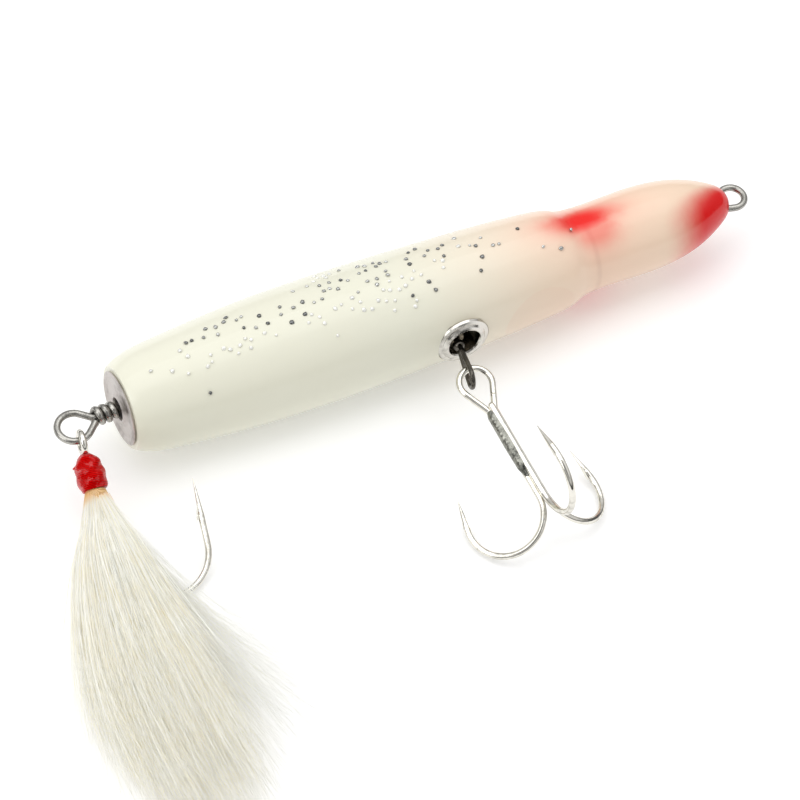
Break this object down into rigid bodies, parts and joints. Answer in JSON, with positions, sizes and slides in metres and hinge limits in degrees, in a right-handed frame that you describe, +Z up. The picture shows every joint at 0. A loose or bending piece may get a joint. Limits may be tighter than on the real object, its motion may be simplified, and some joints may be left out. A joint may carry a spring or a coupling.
{
  "type": "topwater popper fishing lure",
  "caption": "Turned wooden surface plug on a through-wire, with a belly treble on a barrel swivel and a hair-dressed single hook at the tail.",
  "frame": {"origin": "centre of the bottom of the lure's box, on the surface that it lies on", "axes": "+X from the tail to the nose along the body, -Y towards the belly hook, +Z up"},
  "size_m": [0.189, 0.1222, 0.0295],
  "materials": {
    "painted_wood": "gloss clear coat over pearl paint",
    "wire": "drawn stainless wire",
    "red_filler": "painted epoxy, gloss",
    "grommet": "pressed and plated, satin",
    "lead": "cast, dull",
    "peach_filler": "painted filler under clear coat",
    "swivel_wire": "dark wire",
    "swivel_brass": "darkened brass",
    "hook_plate": "bright tin plate",
    "braze": "rough braze",
    "thread": "waxed thread under varnish",
    "cement": "amber head cement",
    "hair": "natural deer hair"
  },
  "bodies": {
    "lure_body": {"wood_body": "painted_wood", "through_wire": "wire", "nose_filler": "red_filler", "tail_grommet": "grommet", "belly_grommet": "grommet", "belly_weight": "lead", "weight_plug": "peach_filler"},
    "swivel_inner": {"swivel_inner_eye": "swivel_wire"},
    "swivel_barrel_body": {"swivel_barrel": "swivel_brass"},
    "swivel_outer": {"swivel_outer_eye": "swivel_wire"},
    "treble": {"treble_eye_hook": "hook_plate", "treble_second_hook": "hook_plate", "treble_third_hook": "hook_plate", "treble_braze": "braze"},
    "dressed_hook": {"tail_hook": "hook_plate", "thread_wrap": "thread", "tie_cement": "cement", "bucktail_left": "hair", "bucktail_right": "hair"}
  },
  "joints": [
    {"name": "swivel_lean", "type": "hinge", "parent": "lure_body", "child": "swivel_inner", "pos_m": [0.016, 0.04694, 0.01415], "axis": [0, 0.0698, 0.9976], "range_deg": [-2, 11]},
    {"name": "barrel_spin", "type": "hinge", "parent": "swivel_inner", "child": "swivel_barrel_body", "pos_m": [0.016, 0.04694, 0.01415], "axis": [-0.1908, -0.9792, 0.0685], "continuous": true},
    {"name": "outer_eye_spin", "type": "hinge", "parent": "swivel_barrel_body", "child": "swivel_outer", "pos_m": [0.016, 0.04694, 0.01415], "axis": [-0.1908, -0.9792, 0.0685], "continuous": true},
    {"name": "treble_swing", "type": "hinge", "parent": "swivel_outer", "child": "treble", "pos_m": [0.01183, 0.0258, 0.01588], "axis": [0.9976, 0.0698, 0], "range_deg": [-65, 40]},
    {"name": "tail_hook_swing", "type": "hinge", "parent": "lure_body", "child": "dressed_hook", "pos_m": [-0.0734, 0.04614, 0.01415], "axis": [0, 0, 1], "range_deg": [-180, 10]}
  ]
}
